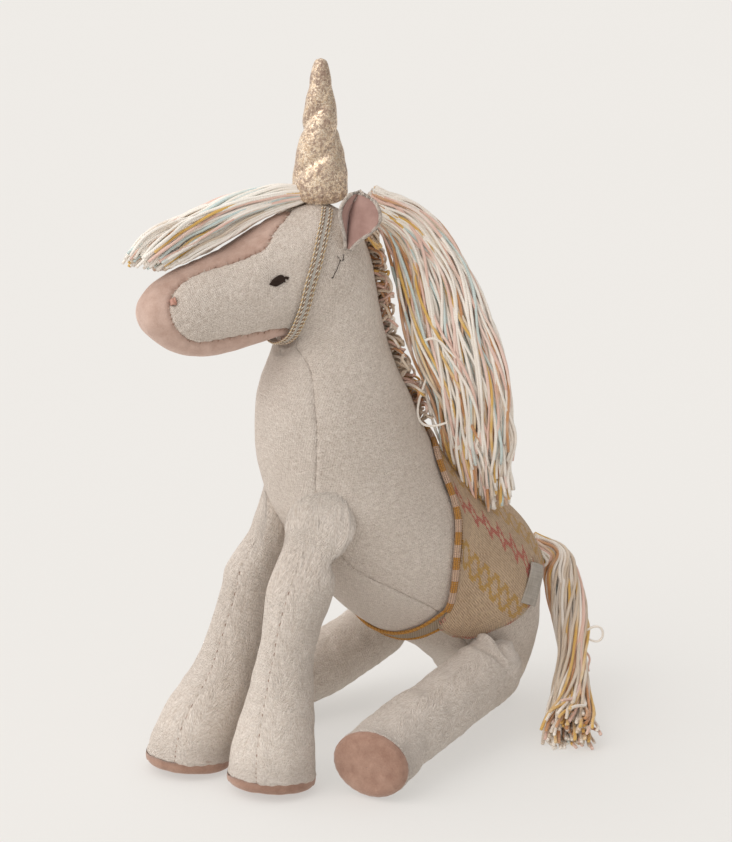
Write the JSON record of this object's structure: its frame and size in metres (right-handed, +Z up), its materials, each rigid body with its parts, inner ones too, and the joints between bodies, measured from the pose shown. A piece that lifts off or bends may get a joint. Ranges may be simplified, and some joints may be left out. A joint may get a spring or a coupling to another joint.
{
  "type": "plush unicorn",
  "caption": "Seated soft toy unicorn in natural linen with velour muzzle and soles, yarn mane and tail, glitter horn on an elastic strap, woven saddle blanket and swinging legs.",
  "frame": {"origin": "middle of the bounding box at floor level", "axes": "+Z up, the animal faces -Y with its head turned a little to its right, its left side is +X"},
  "size_m": [0.1562, 0.2394, 0.3321],
  "materials": {
    "linen": "natural woven linen, matt",
    "linen_warm": "warm off-white woven linen, matt",
    "velour_mauve": "short-pile velour, mauve",
    "velour_sole": "short-pile velour, dusty pink-brown",
    "ear_lining": "smooth cotton, dusty pink",
    "embroidery_dark": "satin-stitched dark brown thread",
    "satin_thread": "knotted satin thread",
    "gold_foil_cloth": "champagne foil-printed cloth with glitter",
    "elastic_ribbon": "metallic-edged elastic ribbon",
    "fibre_fill": "polyester fibre fill",
    "plastic_pellets": "bag of small plastic pellets",
    "woven_blanket": "woven beige cloth with pink and mustard figures",
    "striped_piping": "mustard and cream striped cotton binding",
    "girth_ribbon": "woven ribbon with mustard corded edges",
    "label_cotton": "plain folded cotton tape",
    "yarn_mixed": "cotton yarn in cream, mustard, terracotta, pink and pale blue"
  },
  "bodies": {
    "torso": {"side_panel_left": "linen", "side_panel_right": "linen", "chest_belly_gusset": "linen_warm", "blaze_muzzle": "velour_mauve", "body_stuffing": "fibre_fill", "pellet_pouch": "plastic_pellets", "eye_left": "embroidery_dark", "eye_right": "embroidery_dark", "nostril_left": "satin_thread", "nostril_right": "satin_thread", "horn_strap": "elastic_ribbon", "saddle_blanket": "woven_blanket", "blanket_lining": "linen_warm", "blanket_piping": "striped_piping", "girth_band": "girth_ribbon", "label_tab": "label_cotton", "mane_crest": "yarn_mixed"},
    "front_left_leg": {"front_left_leg_skin": "linen", "front_left_leg_stuffing": "fibre_fill", "front_left_sole": "velour_sole"},
    "front_right_leg": {"front_right_leg_skin": "linen", "front_right_leg_stuffing": "fibre_fill", "front_right_sole": "velour_sole"},
    "hind_left_leg": {"hind_left_leg_skin": "linen", "hind_left_leg_stuffing": "fibre_fill", "hind_left_sole": "velour_sole"},
    "hind_right_leg": {"hind_right_leg_skin": "linen", "hind_right_leg_stuffing": "fibre_fill", "hind_right_sole": "velour_sole"},
    "ear_left_flap": {"ear_left": "linen", "ear_lining_left": "ear_lining"},
    "ear_right_flap": {"ear_right": "linen", "ear_lining_right": "ear_lining"},
    "horn": {"horn_cover": "gold_foil_cloth", "horn_stuffing": "fibre_fill"},
    "mane": {"mane_tress": "yarn_mixed"},
    "fringe": {"forelock": "yarn_mixed"},
    "tail_bundle": {"tail": "yarn_mixed"}
  },
  "joints": [
    {"name": "front_left_leg_swing", "type": "hinge", "parent": "torso", "child": "front_left_leg", "pos_m": [0.01155, -0.05283, 0.11], "axis": [1, 0, 0], "range_deg": [-60, 4]},
    {"name": "front_right_leg_swing", "type": "hinge", "parent": "torso", "child": "front_right_leg", "pos_m": [-0.02845, -0.05283, 0.11], "axis": [1, 0, 0], "range_deg": [-60, 8]},
    {"name": "hind_left_leg_swing", "type": "hinge", "parent": "torso", "child": "hind_left_leg", "pos_m": [0.03455, 0.03717, 0.0345], "axis": [1, 0, 0], "range_deg": [-15, 60]},
    {"name": "hind_right_leg_swing", "type": "hinge", "parent": "torso", "child": "hind_right_leg", "pos_m": [-0.05145, 0.03717, 0.0335], "axis": [1, 0, 0], "range_deg": [-15, 60]},
    {"name": "ear_left_flop", "type": "hinge", "parent": "torso", "child": "ear_left_flap", "pos_m": [0.0129, -0.0353, 0.2475], "axis": [0.5246, 0.8149, -0.2463], "range_deg": [0, 22], "stiffness_Nm_per_rad": 0.004},
    {"name": "ear_right_flop", "type": "hinge", "parent": "torso", "child": "ear_right_flap", "pos_m": [-0.0279, -0.0236, 0.2475], "axis": [0.0131, -0.9691, 0.2464], "range_deg": [0, 22], "stiffness_Nm_per_rad": 0.004},
    {"name": "horn_lift", "type": "slide", "parent": "torso", "child": "horn", "axis": [0, 0, 1], "range_m": [0, 0.01], "stiffness_N_per_m": 40, "deforming": ["horn_strap"]},
    {"name": "mane_swing", "type": "hinge", "parent": "torso", "child": "mane", "pos_m": [0.0005, -0.0125, 0.267], "axis": [0, -1, 0], "range_deg": [0, 45]},
    {"name": "forelock_lift", "type": "hinge", "parent": "torso", "child": "fringe", "pos_m": [-0.014, -0.0448, 0.27], "axis": [-0.9613, 0.2756, 0], "range_deg": [0, 20]},
    {"name": "tail_swing", "type": "hinge", "parent": "torso", "child": "tail_bundle", "pos_m": [-0.0055, 0.1022, 0.077], "axis": [1, 0, 0], "range_deg": [0, 60]}
  ]
}
